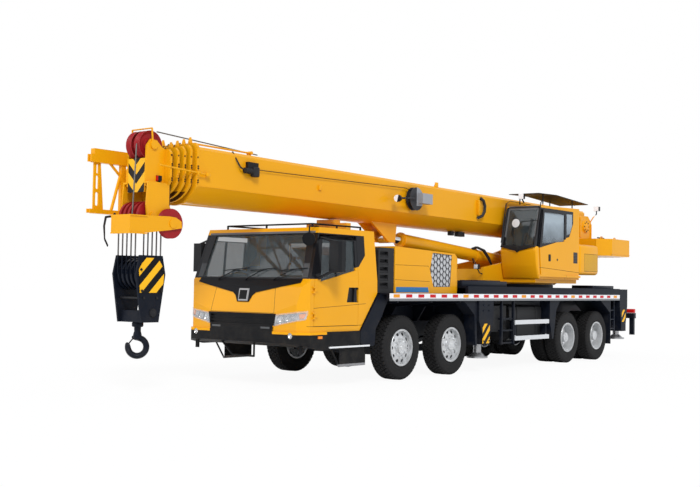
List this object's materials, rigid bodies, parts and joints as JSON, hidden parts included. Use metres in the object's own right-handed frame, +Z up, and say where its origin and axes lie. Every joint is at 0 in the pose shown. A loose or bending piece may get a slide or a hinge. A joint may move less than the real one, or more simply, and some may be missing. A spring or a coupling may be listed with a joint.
{
  "type": "four-axle truck crane",
  "caption": "Road truck crane with a low front cab, side operator's cab, telescopic boom laid forward over the cab, outriggers and hook block.",
  "frame": {"origin": "on the ground below the middle of the crane", "axes": "+X forward along the boom, +Y to the crane's left, +Z up"},
  "size_m": [14.32, 3.12, 3.614],
  "materials": {
    "dark_steel": "satin dark grey paint",
    "black_plastic": "matt black",
    "silver_rail": "silver paint",
    "yellow_paint": "gloss yellow",
    "interior_plastic": "grey plastic",
    "window_glass": "clear",
    "wheel_silver": "silver paint",
    "tyre_rubber": "black rubber",
    "jack_steel": "ground steel",
    "winch_steel": "oiled wire rope",
    "sheave_red": "crimson",
    "chrome_rod": "polished",
    "block_black": "black paint"
  },
  "bodies": {
    "carrier": {"chassis_frame": "dark_steel", "deck": "dark_steel", "side_boxes": "black_plastic", "ladders": "silver_rail", "axles": "dark_steel", "cab_shell": "yellow_paint", "cab_glass": "window_glass", "cab_interior": "interior_plastic", "front_bumper": "black_plastic", "engine_hood": "yellow_paint", "engine": "dark_steel", "mudguards": "dark_steel", "boom_rest": "yellow_paint"},
    "wheel_1_left": {"rim_1_left": "wheel_silver", "tyre_1_left": "tyre_rubber"},
    "knuckle_1_left": {"knuckle_1_left": "dark_steel"},
    "wheel_1_right": {"rim_1_right": "wheel_silver", "tyre_1_right": "tyre_rubber"},
    "knuckle_1_right": {"knuckle_1_right": "dark_steel"},
    "wheel_2_left": {"rim_2_left": "wheel_silver", "tyre_2_left": "tyre_rubber"},
    "knuckle_2_left": {"knuckle_2_left": "dark_steel"},
    "wheel_2_right": {"rim_2_right": "wheel_silver", "tyre_2_right": "tyre_rubber"},
    "knuckle_2_right": {"knuckle_2_right": "dark_steel"},
    "wheel_3_left": {"rim_3_left": "wheel_silver", "tyre_3_left": "tyre_rubber"},
    "wheel_3_right": {"rim_3_right": "wheel_silver", "tyre_3_right": "tyre_rubber"},
    "wheel_4_left": {"rim_4_left": "wheel_silver", "tyre_4_left": "tyre_rubber"},
    "wheel_4_right": {"rim_4_right": "wheel_silver", "tyre_4_right": "tyre_rubber"},
    "beam_front_left": {"outrigger_beam_front_left": "yellow_paint"},
    "jack_front_left": {"jack_front_left": "jack_steel"},
    "beam_front_right": {"outrigger_beam_front_right": "yellow_paint"},
    "jack_front_right": {"jack_front_right": "jack_steel"},
    "beam_rear_left": {"outrigger_beam_rear_left": "yellow_paint"},
    "jack_rear_left": {"jack_rear_left": "jack_steel"},
    "beam_rear_right": {"outrigger_beam_rear_right": "yellow_paint"},
    "jack_rear_right": {"jack_rear_right": "jack_steel"},
    "door_left": {"cab_door_left": "yellow_paint"},
    "door_right": {"cab_door_right": "yellow_paint"},
    "superstructure": {"turntable": "yellow_paint", "winches": "winch_steel", "counterweight": "yellow_paint", "operator_cab": "yellow_paint", "operator_glass": "window_glass"},
    "operator_door": {"operator_door": "yellow_paint"},
    "boom": {"boom_base": "yellow_paint", "jib": "yellow_paint"},
    "boom_2": {"boom_section_2": "yellow_paint"},
    "boom_3": {"boom_section_3": "yellow_paint"},
    "boom_4": {"boom_section_4": "yellow_paint"},
    "boom_5": {"boom_head": "yellow_paint", "head_sheaves": "sheave_red"},
    "hook_block": {"hook_block": "block_black"},
    "hook": {"hook": "block_black"},
    "luff_barrel": {"luff_barrel": "yellow_paint"},
    "luff_rod": {"luff_rod": "chrome_rod"}
  },
  "joints": [
    {"name": "steer_1_left", "type": "hinge", "parent": "carrier", "child": "knuckle_1_left", "pos_m": [2.24, 0.92, 0.522], "axis": [0, 0, 1], "range_deg": [-30, 30]},
    {"name": "roll_1_left", "type": "hinge", "parent": "knuckle_1_left", "child": "wheel_1_left", "pos_m": [2.24, 1.117, 0.522], "axis": [0, 1, 0], "continuous": true},
    {"name": "steer_1_right", "type": "hinge", "parent": "carrier", "child": "knuckle_1_right", "pos_m": [2.24, -0.92, 0.522], "axis": [0, 0, 1], "range_deg": [-30, 30]},
    {"name": "roll_1_right", "type": "hinge", "parent": "knuckle_1_right", "child": "wheel_1_right", "pos_m": [2.24, -1.117, 0.522], "axis": [0, 1, 0], "continuous": true},
    {"name": "steer_2_left", "type": "hinge", "parent": "carrier", "child": "knuckle_2_left", "pos_m": [0.765, 0.92, 0.522], "axis": [0, 0, 1], "range_deg": [-21, 21]},
    {"name": "roll_2_left", "type": "hinge", "parent": "knuckle_2_left", "child": "wheel_2_left", "pos_m": [0.765, 1.117, 0.522], "axis": [0, 1, 0], "continuous": true},
    {"name": "steer_2_right", "type": "hinge", "parent": "carrier", "child": "knuckle_2_right", "pos_m": [0.765, -0.92, 0.522], "axis": [0, 0, 1], "range_deg": [-21, 21]},
    {"name": "roll_2_right", "type": "hinge", "parent": "knuckle_2_right", "child": "wheel_2_right", "pos_m": [0.765, -1.117, 0.522], "axis": [0, 1, 0], "continuous": true},
    {"name": "roll_3_left", "type": "hinge", "parent": "carrier", "child": "wheel_3_left", "pos_m": [-3.595, 0.9835, 0.522], "axis": [0, 1, 0], "continuous": true},
    {"name": "roll_3_right", "type": "hinge", "parent": "carrier", "child": "wheel_3_right", "pos_m": [-3.595, -0.9835, 0.522], "axis": [0, 1, 0], "continuous": true},
    {"name": "roll_4_left", "type": "hinge", "parent": "carrier", "child": "wheel_4_left", "pos_m": [-4.96, 0.9835, 0.522], "axis": [0, 1, 0], "continuous": true},
    {"name": "roll_4_right", "type": "hinge", "parent": "carrier", "child": "wheel_4_right", "pos_m": [-4.96, -0.9835, 0.522], "axis": [0, 1, 0], "continuous": true},
    {"name": "extend_front_left", "type": "slide", "parent": "carrier", "child": "beam_front_left", "axis": [0, 1, 0], "range_m": [0, 1.7]},
    {"name": "lower_front_left", "type": "slide", "parent": "beam_front_left", "child": "jack_front_left", "axis": [0, 0, -1], "range_m": [0, 0.24]},
    {"name": "extend_front_right", "type": "slide", "parent": "carrier", "child": "beam_front_right", "axis": [0, -1, 0], "range_m": [0, 1.7]},
    {"name": "lower_front_right", "type": "slide", "parent": "beam_front_right", "child": "jack_front_right", "axis": [0, 0, -1], "range_m": [0, 0.24]},
    {"name": "extend_rear_left", "type": "slide", "parent": "carrier", "child": "beam_rear_left", "axis": [0, 1, 0], "range_m": [0, 1.7]},
    {"name": "lower_rear_left", "type": "slide", "parent": "beam_rear_left", "child": "jack_rear_left", "axis": [0, 0, -1], "range_m": [0, 0.405]},
    {"name": "extend_rear_right", "type": "slide", "parent": "carrier", "child": "beam_rear_right", "axis": [0, -1, 0], "range_m": [0, 1.7]},
    {"name": "lower_rear_right", "type": "slide", "parent": "beam_rear_right", "child": "jack_rear_right", "axis": [0, 0, -1], "range_m": [0, 0.405]},
    {"name": "door_left", "type": "hinge", "parent": "carrier", "child": "door_left", "pos_m": [4.418, 1.234, 1.25], "axis": [0, 0, -1], "range_deg": [0, 65]},
    {"name": "door_right", "type": "hinge", "parent": "carrier", "child": "door_right", "pos_m": [4.418, -1.234, 1.25], "axis": [0, 0, 1], "range_deg": [0, 65]},
    {"name": "slew", "type": "hinge", "parent": "carrier", "child": "superstructure", "pos_m": [-3.51, 0, 1.6], "axis": [0, 0, 1], "continuous": true},
    {"name": "operator_door_slide", "type": "slide", "parent": "superstructure", "child": "operator_door", "axis": [-1, 0, 0], "range_m": [0, 0.62]},
    {"name": "luff", "type": "hinge", "parent": "superstructure", "child": "boom", "pos_m": [-6.06, 0, 2.95], "axis": [0, -1, 0], "range_deg": [0, 80]},
    {"name": "telescope_2", "type": "slide", "parent": "boom", "child": "boom_2", "axis": [1, 0, 0.0087], "range_m": [0, 8.4]},
    {"name": "telescope_3", "type": "slide", "parent": "boom_2", "child": "boom_3", "axis": [1, 0, 0.0087], "range_m": [0, 8.4]},
    {"name": "telescope_4", "type": "slide", "parent": "boom_3", "child": "boom_4", "axis": [1, 0, 0.0087], "range_m": [0, 8.4]},
    {"name": "telescope_5", "type": "slide", "parent": "boom_4", "child": "boom_5", "axis": [1, 0, 0.0087], "range_m": [0, 8.4]},
    {"name": "block_hang", "type": "hinge", "parent": "boom_5", "child": "hook_block", "pos_m": [6.68, 0, 2.4], "axis": [0, -1, 0], "range_deg": [-80, 0]},
    {"name": "hook_turn", "type": "hinge", "parent": "hook_block", "child": "hook", "pos_m": [6.68, 0, 0.9], "axis": [0, 0, 1], "continuous": true},
    {"name": "barrel_swing", "type": "hinge", "parent": "superstructure", "child": "luff_barrel", "pos_m": [-3.46, 0, 2.05], "axis": [0, -1, 0], "range_deg": [0, 91.66]},
    {"name": "rod_stroke", "type": "slide", "parent": "luff_barrel", "child": "luff_rod", "axis": [0.9972, 0, 0.0753], "range_m": [0, 3.3256]}
  ],
  "couplings": [
    {"joint": "steer_1_right", "follows": "steer_1_left", "ratio": 1},
    {"joint": "steer_2_left", "follows": "steer_1_left", "ratio": 0.7},
    {"joint": "steer_2_right", "follows": "steer_1_left", "ratio": 0.7},
    {"joint": "telescope_3", "follows": "telescope_2", "ratio": 1},
    {"joint": "telescope_4", "follows": "telescope_2", "ratio": 1},
    {"joint": "telescope_5", "follows": "telescope_2", "ratio": 1},
    {"joint": "block_hang", "follows": "luff", "ratio": -1},
    {"joint": "barrel_swing", "follows": "luff", "ratio": 1.1457},
    {"joint": "rod_stroke", "follows": "luff", "m_per_rad": 2.3811}
  ]
}
